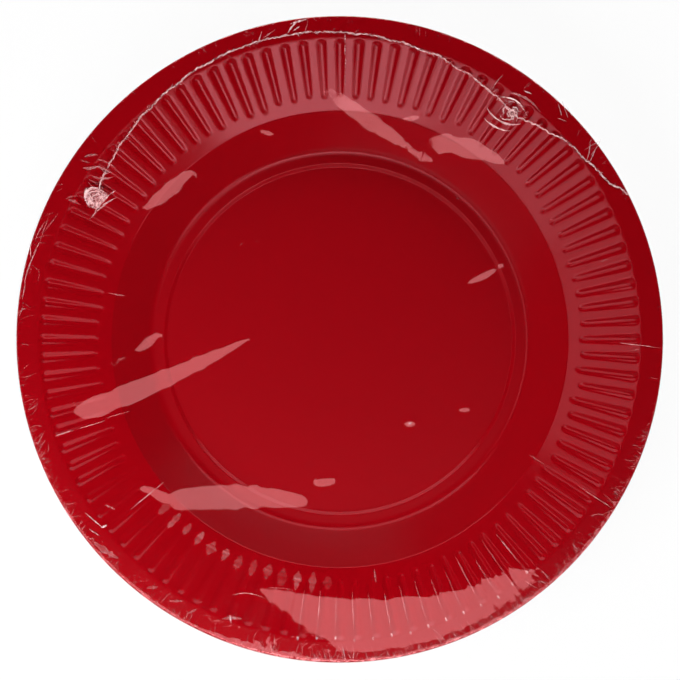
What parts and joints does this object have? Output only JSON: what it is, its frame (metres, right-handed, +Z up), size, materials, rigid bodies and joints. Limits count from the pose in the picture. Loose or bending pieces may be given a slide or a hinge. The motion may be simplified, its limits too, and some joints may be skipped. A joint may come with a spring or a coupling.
{
  "type": "stack of paper plates",
  "caption": "Round paper plates with a fluted rim, nested in a stack eating side up and closed in clear shrink film with a heat-sealed seam.",
  "frame": {"origin": "middle of the pack's underside, on the surface it rests on", "axes": "+Z up out of the eating side of the plates, +Y towards the middle of the heat-sealed seam on the top of the film"},
  "size_m": [0.2302, 0.2302, 0.0245],
  "materials": {
    "plate_board": "satin",
    "clear_film": "gloss"
  },
  "bodies": {
    "root": {"plate_1": "plate_board", "plate_2": "plate_board", "plate_3": "plate_board", "plate_4": "plate_board", "plate_5": "plate_board", "plate_6": "plate_board", "plate_7": "plate_board", "plate_8": "plate_board", "shrink_film": "clear_film"}
  },
  "joints": []
}
